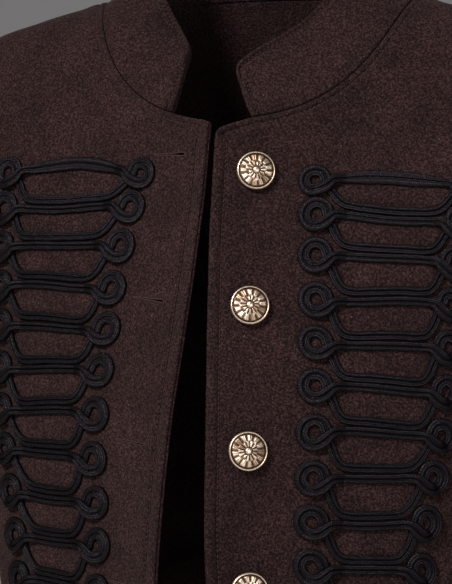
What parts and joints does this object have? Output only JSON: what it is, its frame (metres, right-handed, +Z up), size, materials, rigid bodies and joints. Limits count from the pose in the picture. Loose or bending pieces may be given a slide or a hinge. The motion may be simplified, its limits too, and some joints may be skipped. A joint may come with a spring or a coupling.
{
  "type": "military jacket",
  "caption": "Thick wool military jacket worn open, hollow, with a stand collar, braid frogs on both fronts and domed metal buttons.",
  "frame": {"origin": "middle of the neck base at shoulder height, where the jacket hangs on its wearer", "axes": "+Z up, -Y the way the wearer faces, +X toward the wearer's left"},
  "size_m": [0.7238, 0.2589, 0.702],
  "materials": {
    "wool": "felted nap, dark brown",
    "braid": "black two-rib braid",
    "brass": "antiqued, worn bright on the relief"
  },
  "bodies": {
    "root": {"front_right": "wool", "front_left": "wool", "back": "wool", "sleeve_right_top": "wool", "sleeve_right_under": "wool", "sleeve_left_top": "wool", "sleeve_left_under": "wool", "collar": "wool", "frog_right_01": "braid", "frog_right_02": "braid", "frog_right_03": "braid", "frog_right_04": "braid", "frog_right_05": "braid", "frog_right_06": "braid", "frog_right_07": "braid", "frog_right_08": "braid", "frog_right_09": "braid", "frog_right_10": "braid", "frog_right_11": "braid", "frog_left_01": "braid", "frog_left_02": "braid", "frog_left_03": "braid", "frog_left_04": "braid", "frog_left_05": "braid", "frog_left_06": "braid", "frog_left_07": "braid", "frog_left_08": "braid", "frog_left_09": "braid", "frog_left_10": "braid", "frog_left_11": "braid", "button_1": "brass", "button_2": "brass", "button_3": "brass", "button_4": "brass", "button_5": "brass"}
  },
  "joints": []
}
